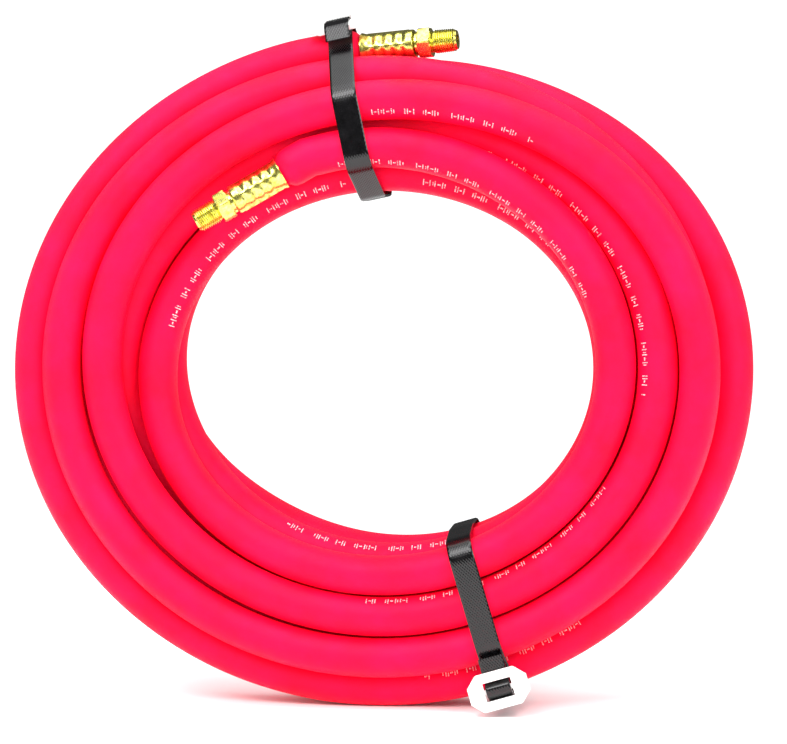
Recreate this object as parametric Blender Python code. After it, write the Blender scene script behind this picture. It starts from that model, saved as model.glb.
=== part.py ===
"""Coil of rubber air hose, standing on edge and tied with two plastic straps.

The hose is one length, wound about ten times into an oval bundle. Each end is
crimped in a brass ferrule on a stem with a hexagon and a tapered male pipe
thread. The coil's axis lies along Y, its front faces -Y, and it stands on Z = 0.
"""

from math import ceil, cos, pi, radians, sin

import bmesh
import bpy
import numpy as np
from mathutils import Matrix, Vector

# Hose
HOSE_DIAMETER = 0.018
HOSE_BORE = 0.0095
HOSE_SIDES = 12
BORE_SIDES = 6

# Winding: lanes count outward from the innermost turn, one pitch apart
TURN_PITCH = 0.0184
COIL_HALF_WIDTH = 0.1036
COIL_HALF_HEIGHT = 0.0888
OUTER_LANE = 3.0
STEPS_PER_TURN = 48
FIRST_STEP = -15.0
LAST_STEP = 3592.5
FRONT_LEAD = 0.014
TOP_LEAD = 0.013
# How far each fitting leans toward the coil's centre and forward, per unit of length
FRONT_LEAN = (0.18, 0.15)
TOP_LEAN = (-0.02, 0.0)
SMOOTHING_ROUNDS = 10
EASING_ROUNDS = 600
EASING_RATE = 0.45
STIFFNESS = 0.12

# The winding, from the front fitting to the top one: degrees wound clockwise
# from the top of the coil, then lane and depth in pitches (front is negative)
WINDING = (
    # front inner turn, which dives behind at the lower left
    (-32, 0.22, -1.4), (-7, 0.78, -1.3), (30, 0.72, -1.2), (90, 0.2, -1.2),
    (135, 0.25, -1.2), (180, 0.34, -1.2), (215, 0.15, -1.05), (250, 0.02, -0.5),
    # inner turn of the second row, then of the third
    (270, 0.0, -0.35), (360, 0.0, -0.38), (450, 0.15, -0.3), (540, 0.0, -0.3),
    (575, 0.0, -0.1), (610, 0.0, 0.5), (630, 0.0, 0.62), (720, 0.0, 0.62),
    (810, 0.1, 0.68), (900, 0.1, 0.7), (935, 0.2, 0.9),
    # back row, then forward through the middle to the front again
    (970, 0.5, 1.35), (990, 0.55, 1.5), (1080, 0.5, 1.5), (1170, 0.6, 1.55),
    (1260, 0.6, 1.55), (1295, 0.8, 1.2), (1330, 1.0, 0.1), (1350, 1.0, -0.3),
    (1433, 1.05, -0.35), (1453, 1.15, -0.7), (1470, 1.2, -1.0),
    # second front turn
    (1485, 1.2, -1.15), (1530, 1.19, -1.2), (1620, 1.19, -1.2), (1665, 1.1, -1.2),
    (1710, 0.92, -1.2), (1732, 1.2, -1.2), (1748, 1.4, -1.2), (1770, 1.52, -1.22),
    (1793, 1.42, -1.25), (1813, 1.48, -1.25),
    # third front turn, which sinks behind at the right
    (1845, 2.1, -1.2), (1890, 2.15, -1.2), (1980, 2.19, -1.2), (2070, 2.06, -1.2),
    (2092, 2.2, -1.15), (2115, 2.4, -0.9), (2153, 2.08, -0.6), (2205, 2.4, -0.65),
    (2250, 2.35, -0.25), (2270, 2.1, -0.2), (2295, 1.8, -0.25), (2340, 1.6, -0.3),
    (2430, 1.9, -0.25), (2475, 1.5, 0.2), (2513, 1.0, 0.65),
    # outer turns of the third and back rows
    (2610, 1.2, 0.6), (2700, 1.0, 0.65), (2790, 1.0, 0.65), (2835, 1.3, 1.2),
    (2873, 1.5, 1.5), (2925, 1.7, 1.4), (2955, 2.0, 1.3), (2985, 2.6, 0.95),
    (3020, 3.15, 0.68), (3100, 3.15, 0.68), (3132, 2.5, 0.85), (3160, 2.1, 0.85),
    (3195, 2.0, 0.6), (3233, 2.0, 0.6),
    # outermost turn, which comes forward at the bottom and ends on top
    (3252, 2.45, 0.5), (3270, 2.68, 0.4), (3285, 2.84, 0.3), (3300, 2.94, 0.2),
    (3330, 3.0, 0.0), (3375, 3.1, -0.3), (3420, 3.1, -0.5), (3465, 3.1, -0.7),
    (3510, 3.1, -0.8), (3555, 2.8, -0.5), (3575, 2.8, 0.0), (3594, 2.95, 0.35),
)

# Fittings, along their own axis from the mouth of the ferrule
FITTING_SEGMENTS = 18
NECK_LENGTH = 0.006
GRIP_LENGTH = 0.0205
GRIP_OUTER_RADIUS = 0.0056
GRIP_BORE_RADIUS = 0.0043
FERRULE_LENGTH = 0.0245
FERRULE_RADIUS = 0.0066
FERRULE_MOUTH_RADIUS = 0.0073
FERRULE_WALL = 0.0007
FERRULE_LIP_RADIUS = 0.0038
CRIMP_COUNT = 4
CRIMP_DEPTH = 0.0004
STEM_BORE_RADIUS = 0.0022
BARB_COUNT = 5
BARB_CREST_RADIUS = 0.0034
BARB_ROOT_RADIUS = 0.0030
BARB_START = 0.0015
BARB_END = 0.0205
COLLAR_RADIUS = 0.0053
COLLAR_START = 0.0249
HEX_START = 0.0261
HEX_END = 0.0321
HEX_ACROSS_FLATS = 0.0127
HEX_CHAMFER = 0.0007
THREAD_START = 0.0332
THREAD_END = 0.0430
THREAD_COUNT = 10
THREAD_RADIUS = 0.0054
THREAD_DEPTH = 0.0006
THREAD_TAPER = 1 / 32
THREAD_RELIEF_RADIUS = 0.0045
STEM_LENGTH = 0.0438

# Straps and buckles
STRAP_WIDTH = 0.0112
STRAP_THICKNESS = 0.0009
STRAP_GAP = 0.0006
LAYER_GAP = 0.0004
STRAP_STEP = 5.0
START_OVERLAP = 30.0
TAIL_LENGTH = 0.0145
# Name, direction across the coil, how far beside its centre, where the buckle faces (0 forward,
# 90 outward), how far it sits beyond the outermost hose, where the strap leaves the hose, and
# whether the tail passes over the rim
STRAPS = (
    ("top", 101.6, -0.013, 62.0, 0.0, 115.0, True),
    ("bottom", -73.6, 0.0155, 0.0, 0.0055, 90.0, False),
)
BUCKLE_WIDTH = 0.0270
BUCKLE_LENGTH = 0.0168
BUCKLE_THICKNESS = 0.0027
BUCKLE_CORNER = 0.0048
BUCKLE_BAR_WIDTH = 0.0024
BUCKLE_BAR_THICKNESS = 0.0014
BUCKLE_SLOT_END = 0.0042
BUCKLE_SLOT_WIDTH = 0.0128
BUCKLE_EDGE = 0.0004
BUCKLE_STANDOFF = HOSE_DIAMETER / 2 + STRAP_GAP + 2 * STRAP_THICKNESS + 2 * LAYER_GAP

RED_RUBBER = ("red_rubber", (0.80, 0.01, 0.02, 1.0), 0.5, 0.0)
BRASS = ("brass", (0.80, 0.60, 0.16, 1.0), 0.3, 1.0)
BLACK_PLASTIC = ("black_plastic", (0.012, 0.011, 0.014, 1.0), 0.35, 0.0)
WHITE_PLASTIC = ("white_plastic", (0.85, 0.85, 0.84, 1.0), 0.4, 0.0)


def clear_scene():
    for obj in list(bpy.data.objects):
        bpy.data.objects.remove(obj, do_unlink=True)


def make_material(finish):
    name, color, roughness, metallic = finish
    material = bpy.data.materials.get(name) or bpy.data.materials.new(name)
    material.use_nodes = True
    shader = material.node_tree.nodes["Principled BSDF"]
    shader.inputs["Base Color"].default_value = color
    shader.inputs["Roughness"].default_value = roughness
    shader.inputs["Metallic"].default_value = metallic
    return material


def add_object(name, points, faces, finish, parent):
    """Make one closed, outward-facing, smooth-shaded object."""
    mesh = bpy.data.meshes.new(name)
    mesh.from_pydata([tuple(point) for point in points], [], faces)
    work = bmesh.new()
    work.from_mesh(mesh)
    bmesh.ops.recalc_face_normals(work, faces=work.faces)
    work.to_mesh(mesh)
    work.free()
    mesh.materials.append(make_material(finish))
    mesh.shade_smooth()
    mesh.set_sharp_from_angle(angle=radians(35))
    obj = bpy.data.objects.new(name, mesh)
    obj.parent = parent
    bpy.context.scene.collection.objects.link(obj)
    return obj


def loft_faces(ring_sizes, closed):
    """Quads and triangles between rings; a closed loft joins the last ring to the first."""
    starts = [sum(ring_sizes[:index]) for index in range(len(ring_sizes))]
    last = len(ring_sizes) if closed else len(ring_sizes) - 1
    faces = []
    for ring in range(last):
        following = (ring + 1) % len(ring_sizes)
        faces += bridge_faces(
            starts[ring], ring_sizes[ring], starts[following], ring_sizes[following]
        )
    return faces


def bridge_faces(start, count, next_start, next_count):
    """Faces between two rings whose corner counts match, or are one twice the other."""
    if count == next_count:
        return [
            (
                start + side,
                start + (side + 1) % count,
                next_start + (side + 1) % count,
                next_start + side,
            )
            for side in range(count)
        ]
    if count < next_count:
        return [face[::-1] for face in bridge_faces(next_start, next_count, start, count)]
    faces = []
    for side in range(next_count):
        even = start + 2 * side
        middle = start + 2 * side + 1
        after = start + (2 * side + 2) % count
        near = next_start + side
        far = next_start + (side + 1) % next_count
        faces += [(even, middle, near), (middle, far, near), (middle, after, far)]
    return faces


def wound_lanes():
    """Lane and depth at each step of the winding, smoothed along the hose."""
    stations = np.array(WINDING)
    wound = np.arange(FIRST_STEP, LAST_STEP + 1, 360 / STEPS_PER_TURN)
    lanes = np.column_stack(
        [np.interp(wound, stations[:, 0], stations[:, column]) for column in (1, 2)]
    )
    for _ in range(SMOOTHING_ROUNDS):
        lanes[1:-1] = (lanes[:-2] + 2 * lanes[1:-1] + lanes[2:]) / 4
    return wound, ease_apart(lanes)


def ease_apart(lanes):
    """Push turns apart wherever they crowd, while the hose's stiffness keeps it fair."""
    turns = ceil(len(lanes) / STEPS_PER_TURN)
    far_away = 1000.0 + 10.0 * np.arange(turns * STEPS_PER_TURN)
    itself = np.eye(turns)[:, :, None] * 1000.0
    for _ in range(EASING_ROUNDS):
        grid = np.column_stack([far_away, far_away])
        grid[: len(lanes)] = lanes
        grid = grid.reshape(turns, STEPS_PER_TURN, 2)
        apart = grid[:, None] - grid[None]
        distance = np.linalg.norm(apart, axis=3) + itself
        shortfall = np.clip(1.0 - distance, 0.0, None)
        push = (apart * (shortfall / distance)[..., None]).sum(axis=1)
        lanes = lanes + EASING_RATE * push.reshape(-1, 2)[: len(lanes)]
        bend = np.zeros_like(lanes)
        bend[1:-1] = lanes[:-2] - 2 * lanes[1:-1] + lanes[2:]
        lanes[2:-2] -= STIFFNESS * (bend[1:-3] - 2 * bend[2:-2] + bend[3:-1])
        lanes[:, 0] = np.minimum(lanes[:, 0], OUTER_LANE)
    return lanes


def coil_points():
    """The hose's axis through the coil, one point for each step."""
    wound, lanes = wound_lanes()
    clock = np.radians(90.0 - wound)
    across = (COIL_HALF_WIDTH + lanes[:, 0] * TURN_PITCH) * np.cos(clock)
    upward = (COIL_HALF_HEIGHT + lanes[:, 0] * TURN_PITCH) * np.sin(clock)
    return np.column_stack([across, lanes[:, 1] * TURN_PITCH, upward])


def facet_points(coil):
    """Every other point of the axis, from the second to the last, where the solid has a ring."""
    return coil[1::2]


def unit(vector):
    return vector / np.linalg.norm(vector)


def end_direction(points, lean):
    """Direction in which the hose runs on from its first point, with the fitting's lean."""
    onward = 2.0 * (points[0] - points[1]) - (points[1] - points[2])
    inward = -unit(points[0] * np.array([1.0, 0.0, 1.0]))
    forward = np.array([0.0, -1.0, 0.0])
    return unit(unit(onward) + lean[0] * inward + lean[1] * forward)


def fitting_axes(coil):
    """Ferrule mouth and outward direction of the front fitting and of the top one."""
    axes = []
    for points, lead, lean in ((coil, FRONT_LEAD, FRONT_LEAN), (coil[::-1], TOP_LEAD, TOP_LEAN)):
        direction = end_direction(points, lean)
        axes.append((points[0] + lead * direction, direction))
    return axes


def hose_end_rings(mouth, direction):
    """Centre, direction, radius and bore radius of the rings from the grip to the coil."""
    full = HOSE_DIAMETER / 2
    bore = HOSE_BORE / 2
    stations = (
        (GRIP_LENGTH, GRIP_OUTER_RADIUS, GRIP_BORE_RADIUS),
        (0.0, GRIP_OUTER_RADIUS, GRIP_BORE_RADIUS),
        (-0.35 * NECK_LENGTH, 0.78 * full, bore),
        (-NECK_LENGTH, full, bore),
    )
    return [(mouth + along * direction, -direction, outer, inner) for along, outer, inner in stations]


def tube_ring(center, direction, radius, sides):
    """Corners of a ring square to the hose, with a flat side facing outward."""
    depth_axis = np.array([0.0, 1.0, 0.0])
    second = unit(depth_axis - np.dot(depth_axis, direction) * direction)
    first = np.cross(direction, second)
    turn = 2 * pi / sides
    return [
        center + radius * (cos((k + 0.5) * turn) * first + sin((k + 0.5) * turn) * second)
        for k in range(sides)
    ]


def hose_rings(coil):
    """All rings along the hose: the two gripped ends and the coil between them."""
    coarse = facet_points(coil)
    (front_mouth, front_direction), (top_mouth, top_direction) = fitting_axes(coil)
    tangents = np.gradient(coarse, axis=0)
    tangents[0] = -front_direction
    tangents[-1] = top_direction
    full = HOSE_DIAMETER / 2
    bore = HOSE_BORE / 2
    middle = [(point, unit(tangent), full, bore) for point, tangent in zip(coarse, tangents)]
    finish = [
        (center, -direction, outer, inner)
        for center, direction, outer, inner in hose_end_rings(top_mouth, top_direction)
    ]
    return hose_end_rings(front_mouth, front_direction) + middle + finish[::-1]


def add_hose(coil, parent):
    """The whole hose as one hollow tube, open at both ends."""
    rings = hose_rings(coil)
    points = []
    for center, direction, outer, _ in rings:
        points += tube_ring(center, direction, outer, HOSE_SIDES)
    for center, direction, _, inner in rings[::-1]:
        points += tube_ring(center, direction, inner, BORE_SIDES)
    sizes = [HOSE_SIDES] * len(rings) + [BORE_SIDES] * len(rings)
    return add_object("hose", points, loft_faces(sizes, closed=True), RED_RUBBER, parent)


def axis_matrix(mouth, direction):
    """Placement whose local +Z runs out of the hose along the fitting."""
    z_axis = Vector(direction)
    y_axis = Vector((0.0, 1.0, 0.0))
    x_axis = y_axis.cross(z_axis).normalized()
    y_axis = z_axis.cross(x_axis)
    rotation = Matrix((x_axis, y_axis, z_axis)).transposed().to_4x4()
    return Matrix.Translation(Vector(mouth)) @ rotation


def round_ring(radius, height):
    turn = 2 * pi / FITTING_SEGMENTS
    return [
        (radius * cos(k * turn), radius * sin(k * turn), height) for k in range(FITTING_SEGMENTS)
    ]


def hex_ring(across_flats, limit, height):
    """A hexagonal ring whose corners are turned down to the limit radius."""
    points = []
    for k in range(FITTING_SEGMENTS):
        angle = 2 * pi * k / FITTING_SEGMENTS
        off_flat = (angle + pi / 6) % (pi / 3) - pi / 6
        radius = min(across_flats / 2 / cos(off_flat), limit)
        points.append((radius * cos(angle), radius * sin(angle), height))
    return points


def add_turned(name, rings, placement, parent):
    """A turned brass piece with a through hole, from rings that run out and back inside."""
    points = [point for ring in rings for point in ring]
    faces = loft_faces([FITTING_SEGMENTS] * len(rings), closed=True)
    obj = add_object(name, points, faces, BRASS, parent)
    obj.matrix_local = placement
    return obj


def ferrule_rings():
    """A sleeve with a flared mouth, crimp grooves and a lip that grips the stem."""
    rings = [round_ring(FERRULE_MOUTH_RADIUS, 0.0), round_ring(FERRULE_MOUTH_RADIUS, 0.0012)]
    first_crimp = 0.0030
    crimp_pitch = (FERRULE_LENGTH - first_crimp - 0.0020) / CRIMP_COUNT
    for crimp in range(CRIMP_COUNT):
        height = first_crimp + crimp * crimp_pitch
        rings.append(round_ring(FERRULE_RADIUS, height))
        rings.append(round_ring(FERRULE_RADIUS, height + 0.55 * crimp_pitch))
        rings.append(round_ring(FERRULE_RADIUS - CRIMP_DEPTH, height + 0.68 * crimp_pitch))
        rings.append(round_ring(FERRULE_RADIUS - CRIMP_DEPTH, height + 0.87 * crimp_pitch))
    rings.append(round_ring(FERRULE_RADIUS, FERRULE_LENGTH - 0.0020))
    rings.append(round_ring(FERRULE_RADIUS, FERRULE_LENGTH - 0.0006))
    rings.append(round_ring(FERRULE_RADIUS - 0.0006, FERRULE_LENGTH))
    inside = FERRULE_RADIUS - FERRULE_WALL
    lip_start = GRIP_LENGTH + 0.0015
    rings.append(round_ring(FERRULE_LIP_RADIUS, FERRULE_LENGTH))
    rings.append(round_ring(FERRULE_LIP_RADIUS, lip_start))
    rings.append(round_ring(inside, lip_start))
    rings.append(round_ring(inside, 0.0020))
    rings.append(round_ring(FERRULE_MOUTH_RADIUS - FERRULE_WALL, 0.0004))
    rings.append(round_ring(FERRULE_MOUTH_RADIUS - FERRULE_WALL + 0.0002, 0.0))
    return rings


def barb_rings():
    """Saw-tooth barbs that hold the hose from inside."""
    rings = [round_ring(BARB_ROOT_RADIUS - 0.0003, BARB_START)]
    pitch = (BARB_END - BARB_START) / BARB_COUNT
    for barb in range(BARB_COUNT):
        height = BARB_START + barb * pitch
        rings.append(round_ring(BARB_CREST_RADIUS, height + 0.75 * pitch))
        rings.append(round_ring(BARB_ROOT_RADIUS, height + 0.85 * pitch))
    return rings


def thread_rings():
    """Tapered pipe thread as ridges, each with a crest between two roots."""
    rings = []
    pitch = (THREAD_END - THREAD_START) / THREAD_COUNT
    for ridge in range(THREAD_COUNT):
        height = THREAD_START + ridge * pitch
        crest = THREAD_RADIUS - (height - THREAD_START) * THREAD_TAPER
        rings.append(round_ring(crest - THREAD_DEPTH, height + 0.1 * pitch))
        rings.append(round_ring(crest, height + 0.6 * pitch))
    return rings


def stem_rings():
    """Barbed tail, collar, hexagon, thread and the bore through them all."""
    corner = HEX_ACROSS_FLATS / 2 / cos(pi / 6)
    chamfered = HEX_ACROSS_FLATS / 2
    tip_radius = THREAD_RADIUS - THREAD_DEPTH - 0.0006
    return (
        barb_rings()
        + [round_ring(BARB_ROOT_RADIUS, COLLAR_START), round_ring(COLLAR_RADIUS, COLLAR_START)]
        + [round_ring(COLLAR_RADIUS, HEX_START), hex_ring(HEX_ACROSS_FLATS, chamfered, HEX_START)]
        + [hex_ring(HEX_ACROSS_FLATS, corner, HEX_START + HEX_CHAMFER)]
        + [hex_ring(HEX_ACROSS_FLATS, corner, HEX_END - HEX_CHAMFER)]
        + [hex_ring(HEX_ACROSS_FLATS, chamfered, HEX_END)]
        + [round_ring(THREAD_RELIEF_RADIUS, HEX_END)]
        + thread_rings()
        + [round_ring(tip_radius, STEM_LENGTH), round_ring(STEM_BORE_RADIUS, STEM_LENGTH)]
        + [round_ring(STEM_BORE_RADIUS, BARB_START)]
    )


def add_fitting(prefix, placement, parent):
    """One crimped end: its ferrule and its stem."""
    add_turned(prefix + "_ferrule", ferrule_rings(), placement, parent)
    add_turned(prefix + "_stem", stem_rings(), placement, parent)


def bundle_section(coil, angle, aside):
    """Hose centres where a strap crosses, as (forward, outward) pairs."""
    outward = np.array([cos(radians(angle)), 0.0, sin(radians(angle))])
    along = np.array([-outward[2], 0.0, outward[0]])
    reach = STRAP_WIDTH / 2 + 0.002
    centers = []
    for route in (coil, facet_points(coil)):
        steps = np.linspace(0, len(route) - 1, 16 * len(route))
        fine = np.column_stack([np.interp(steps, np.arange(len(route)), axis) for axis in route.T])
        near = fine[(np.abs(fine @ along - aside) < reach) & (fine @ outward > 0)]
        centers.append(np.column_stack([-near[:, 1], near @ outward]))
    return np.vstack(centers)


def wrap_point(centers, turn, offset):
    """Point of a taut wrap around the bundle, where it faces the given direction."""
    facing = np.array([cos(radians(turn)), sin(radians(turn))])
    touched = centers[np.argmax(centers @ facing)]
    return touched + (HOSE_DIAMETER / 2 + offset) * facing


def strap_offset(travel):
    """Height of the strap's middle over the hose after so many degrees of wrapping."""
    second_layer = min(max((travel - 310.0) / 40.0, 0.0), 1.0)
    return STRAP_GAP + STRAP_THICKNESS / 2 + second_layer * (STRAP_THICKNESS + LAYER_GAP)


def buckle_seat(centers, turn, slide):
    """Middle of the buckle's underside, the way it faces, and the way outward along it."""
    facing = np.array([cos(radians(turn)), sin(radians(turn))])
    along = np.array([-facing[1], facing[0]])
    outermost = centers[np.argmax(centers[:, 1])]
    height = (centers @ facing).max() + BUCKLE_STANDOFF
    return height * facing + (outermost @ along + slide) * along, facing, along


def section_matrix(angle, aside):
    """Placement of a strap's section: local X along the coil, Y forward, Z outward."""
    outward = Vector((cos(radians(angle)), 0.0, sin(radians(angle))))
    forward = Vector((0.0, -1.0, 0.0))
    along = forward.cross(outward)
    rotation = Matrix((along, forward, outward)).transposed().to_4x4()
    return Matrix.Translation(aside * along) @ rotation


def threaded_points(tail_over):
    """The strap's middle through the buckle, as (outward, height over the underside)."""
    behind = -(LAYER_GAP + STRAP_THICKNESS / 2)
    over_bar = BUCKLE_BAR_THICKNESS + LAYER_GAP + STRAP_THICKNESS / 2
    over_rim = BUCKLE_THICKNESS + LAYER_GAP + STRAP_THICKNESS / 2
    edge = BUCKLE_LENGTH / 2
    rise = 0.88 * BUCKLE_SLOT_END
    half = [(edge, behind), (0.8 * edge, behind), (rise, 0.9 * behind), (0.0015, over_bar)]
    if tail_over:
        far_half = [(-0.0015, over_bar), (-0.86 * BUCKLE_SLOT_END, over_rim), (-1.07 * edge, over_rim)]
    else:
        far_half = [(-place, height) for place, height in half[::-1]]
    return half + far_half + [(-TAIL_LENGTH, behind)]


def strap_path(centers, turn, slide, leave, tail_over):
    """Middle line of the strap: once round the bundle, through the buckle, and a tail."""
    path = []
    for step in range(int((360.0 + START_OVERLAP) / STRAP_STEP) + 1):
        travel = step * STRAP_STEP
        path.append(wrap_point(centers, leave + START_OVERLAP - travel, strap_offset(travel)))
    seat, facing, along = buckle_seat(centers, turn, slide)
    path += [seat + place * along + height * facing for place, height in threaded_points(tail_over)]
    return path


def add_strap(name, path, placement, parent):
    """A flat strap swept along its path."""
    half = STRAP_WIDTH / 2
    points = []
    for index, middle in enumerate(path):
        before = path[max(index - 1, 0)]
        after = path[min(index + 1, len(path) - 1)]
        heading = unit(after - before)
        normal = np.array([-heading[1], heading[0]]) * STRAP_THICKNESS / 2
        for across, side in ((-half, -1), (half, -1), (half, 1), (-half, 1)):
            forward, outward = middle + side * normal
            points.append((across, forward, outward))
    faces = loft_faces([4] * len(path), closed=False)
    end = len(points)
    faces += [(0, 1, 2, 3), (end - 1, end - 2, end - 3, end - 4)]
    strap = add_object(name, points, faces, BLACK_PLASTIC, parent)
    strap.matrix_local = placement
    return strap


def box_cutter(name, size, center, parent):
    """A hidden block that a Boolean modifier takes away."""
    mesh = bpy.data.meshes.new(name)
    work = bmesh.new()
    bmesh.ops.create_cube(work, size=1.0)
    bmesh.ops.scale(work, vec=size, verts=work.verts)
    bmesh.ops.translate(work, vec=center, verts=work.verts)
    work.to_mesh(mesh)
    work.free()
    cutter = bpy.data.objects.new(name, mesh)
    cutter.parent = parent
    cutter.hide_render = True
    cutter.display_type = "WIRE"
    bpy.context.scene.collection.objects.link(cutter)
    return cutter


def buckle_outline():
    """Octagon, longer across the strap than along it."""
    half_width = BUCKLE_WIDTH / 2
    half_length = BUCKLE_LENGTH / 2
    inner_width = half_width - BUCKLE_CORNER
    inner_length = half_length - BUCKLE_CORNER
    quarter = ((half_width, inner_length), (inner_width, half_length))
    outline = []
    for x_sign, y_sign in ((1, 1), (-1, 1), (-1, -1), (1, -1)):
        corner = quarter if x_sign == y_sign else quarter[::-1]
        outline += [(x_sign * x, y_sign * y) for x, y in corner]
    return outline


def buckle_matrix(centers, turn, slide):
    """Placement of a buckle in the strap's section: local Z faces away from the hose."""
    seat = buckle_seat(centers, turn, slide)[0]
    return Matrix.Translation((0.0, *seat)) @ Matrix.Rotation(radians(turn - 90.0), 4, "X")


def cut_away(buckle, cutter):
    cut = buckle.modifiers.new(cutter.name, "BOOLEAN")
    cut.operation = "DIFFERENCE"
    cut.object = cutter


def add_buckle(name, placement, parent):
    """A flat octagonal frame with two slots, and a lower bar between them."""
    outline = buckle_outline()
    count = len(outline)
    points = [(x, y, height) for height in (0.0, BUCKLE_THICKNESS) for x, y in outline]
    faces = loft_faces([count, count], closed=False)
    faces += [tuple(range(count)), tuple(range(count, 2 * count))]
    buckle = add_object(name, points, faces, WHITE_PLASTIC, parent)
    buckle.matrix_local = placement
    slot_length = BUCKLE_SLOT_END - BUCKLE_BAR_WIDTH / 2
    for label, side in (("front", 1), ("back", -1)):
        center = (0.0, side * (BUCKLE_BAR_WIDTH / 2 + slot_length / 2), BUCKLE_THICKNESS / 2)
        size = (BUCKLE_SLOT_WIDTH, slot_length, 2 * BUCKLE_THICKNESS)
        cut_away(buckle, box_cutter(f"{name}_{label}_slot", size, center, buckle))
    relief = (BUCKLE_SLOT_WIDTH, 2 * BUCKLE_SLOT_END - 0.002, 2 * BUCKLE_THICKNESS)
    over_bar = (0.0, 0.0, BUCKLE_BAR_THICKNESS + BUCKLE_THICKNESS)
    cut_away(buckle, box_cutter(f"{name}_relief", relief, over_bar, buckle))
    edge = buckle.modifiers.new("rounded_edges", "BEVEL")
    edge.width = BUCKLE_EDGE
    edge.segments = 1
    edge.limit_method = "ANGLE"
    edge.angle_limit = radians(40)
    return buckle


def stand_on_origin(parent):
    """Move the whole object so that it stands on Z = 0, centred over the origin."""
    bpy.context.view_layer.update()
    places = np.array(
        [obj.matrix_world @ vertex.co for obj in parent.children for vertex in obj.data.vertices]
    )
    lowest = places.min(axis=0)
    middle = (lowest + places.max(axis=0)) / 2
    parent.location = (-middle[0], -middle[1], -lowest[2])


def build():
    clear_scene()
    base = bpy.data.objects.new("coil_center", None)
    bpy.context.scene.collection.objects.link(base)
    coil = coil_points()
    add_hose(coil, base)
    for prefix, axis in zip(("front", "top"), fitting_axes(coil)):
        add_fitting(prefix, axis_matrix(*axis), base)
    for name, angle, aside, turn, slide, leave, tail_over in STRAPS:
        section = section_matrix(angle, aside)
        centers = bundle_section(coil, angle, aside)
        add_strap(name + "_strap", strap_path(centers, turn, slide, leave, tail_over), section, base)
        add_buckle(name + "_buckle", section @ buckle_matrix(centers, turn, slide), base)
    stand_on_origin(base)


build()
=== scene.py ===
"""Looks of a coiled rubber air hose with two straps, two buckles and two brass fittings."""

from math import ceil, cos, pi, radians, sin

import bmesh
import bpy
import numpy as np
from mathutils import Matrix, Vector


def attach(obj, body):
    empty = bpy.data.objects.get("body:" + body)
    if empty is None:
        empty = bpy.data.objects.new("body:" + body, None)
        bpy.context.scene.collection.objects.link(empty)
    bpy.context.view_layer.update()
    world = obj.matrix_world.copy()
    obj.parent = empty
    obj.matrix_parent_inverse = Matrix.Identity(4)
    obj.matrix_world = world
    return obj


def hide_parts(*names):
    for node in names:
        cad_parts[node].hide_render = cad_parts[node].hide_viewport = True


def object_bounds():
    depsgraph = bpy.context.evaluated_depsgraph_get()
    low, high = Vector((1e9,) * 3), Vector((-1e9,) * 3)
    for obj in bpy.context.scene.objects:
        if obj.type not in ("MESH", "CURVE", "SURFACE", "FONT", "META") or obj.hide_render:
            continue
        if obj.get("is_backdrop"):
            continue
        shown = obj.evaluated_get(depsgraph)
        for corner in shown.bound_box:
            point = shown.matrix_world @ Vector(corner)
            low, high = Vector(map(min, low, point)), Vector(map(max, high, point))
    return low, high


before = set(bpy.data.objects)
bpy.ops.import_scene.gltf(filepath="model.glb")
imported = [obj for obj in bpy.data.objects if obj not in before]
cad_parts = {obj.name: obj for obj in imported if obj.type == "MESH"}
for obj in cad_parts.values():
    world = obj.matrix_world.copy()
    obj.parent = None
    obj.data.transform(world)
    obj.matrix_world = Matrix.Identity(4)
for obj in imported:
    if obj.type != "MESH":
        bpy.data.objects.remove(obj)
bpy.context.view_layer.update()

# Camera
CAMERA_AZIMUTH = 8.0
CAMERA_ELEVATION = 2.0
CAMERA_DISTANCE = 1.2
CAMERA_LENS = 120.8
CAMERA_SENSOR = 36.0
CAMERA_SHIFT = (0.0159, -0.0064)

# Hose
COIL_CENTER = np.array([-0.0000570, -0.0009547, 0.1514063])
HOSE_DIAMETER = 0.018
HOSE_RADIUS = 0.0089
HOSE_SIDES = 28
STEPS_BETWEEN = 4
TURN_PITCH = 0.0184
COIL_HALF_WIDTH = 0.1036
COIL_HALF_HEIGHT = 0.0888
OUTER_LANE = 3.0
STEPS_PER_TURN = 48
FIRST_STEP = -15.0
LAST_STEP = 3592.5
FRONT_LEAD = 0.014
TOP_LEAD = 0.013
FRONT_LEAN = (0.18, 0.15)
TOP_LEAN = (-0.02, 0.0)
SMOOTHING_ROUNDS = 10
EASING_ROUNDS = 600
EASING_RATE = 0.45
STIFFNESS = 0.12

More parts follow.
